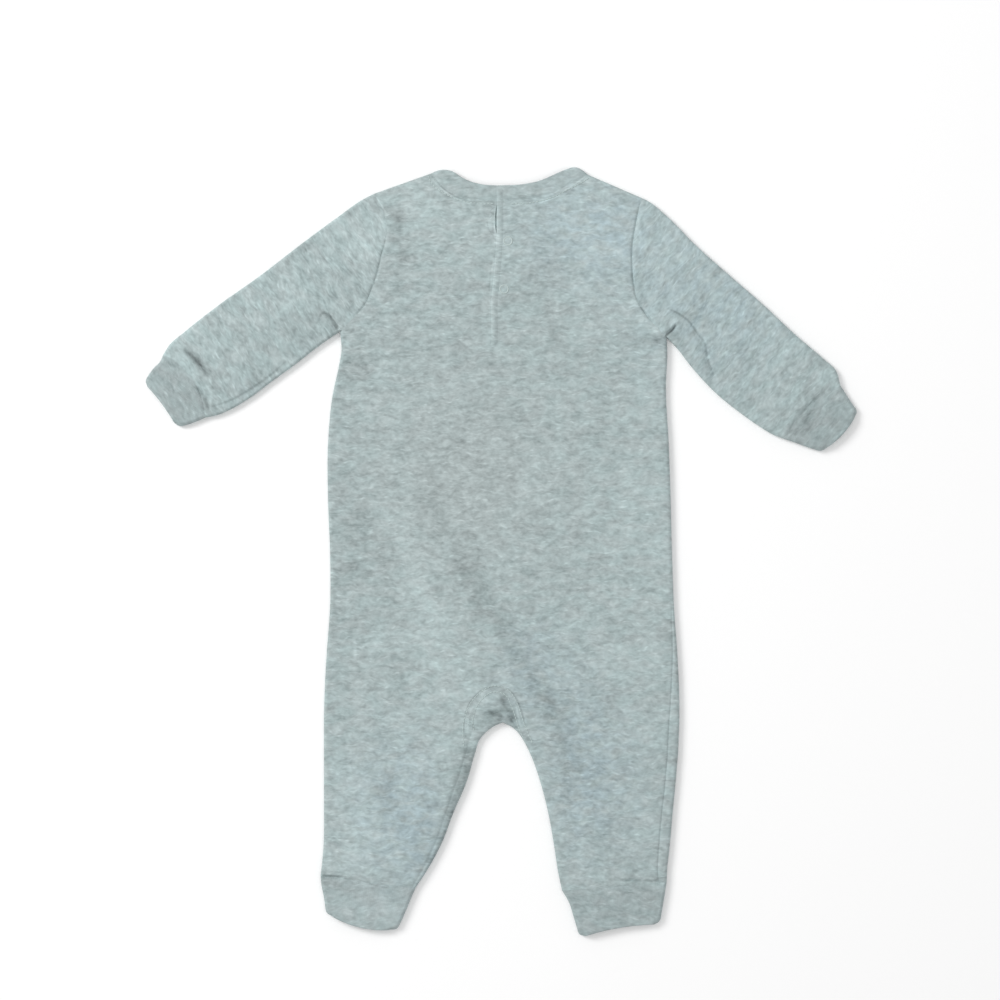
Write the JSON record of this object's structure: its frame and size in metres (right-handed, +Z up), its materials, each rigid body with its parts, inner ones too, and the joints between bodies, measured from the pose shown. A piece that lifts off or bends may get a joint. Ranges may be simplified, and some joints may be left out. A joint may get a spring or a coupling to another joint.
{
  "type": "baby onesie pajama",
  "caption": "Baby's long-sleeved one-piece pajama with rib cuffs and a snapped opening at the centre back, laid flat on its front.",
  "frame": {"origin": "middle of the garment's outline, on the surface that it lies on", "axes": "+Y from the ankles to the neck, +Z up through the back, +X towards the wearer's right sleeve"},
  "size_m": [0.53, 0.57, 0.0082],
  "materials": {
    "body_cloth": "matt heather cotton fleece",
    "sleeve_cloth": "matt heather cotton fleece",
    "rib": "matt heather cotton rib",
    "snap": "satin, in the cloth's colour"
  },
  "bodies": {
    "root": {"front_panel": "body_cloth", "back_panel": "body_cloth", "sleeve_left": "sleeve_cloth", "sleeve_right": "sleeve_cloth", "wrist_cuff_left": "rib", "wrist_cuff_right": "rib", "ankle_cuff_left": "rib", "ankle_cuff_right": "rib", "neckband": "rib", "placket_overlap": "body_cloth", "placket_underlap": "body_cloth", "snap_upper": "snap", "snap_lower": "snap"}
  },
  "joints": []
}
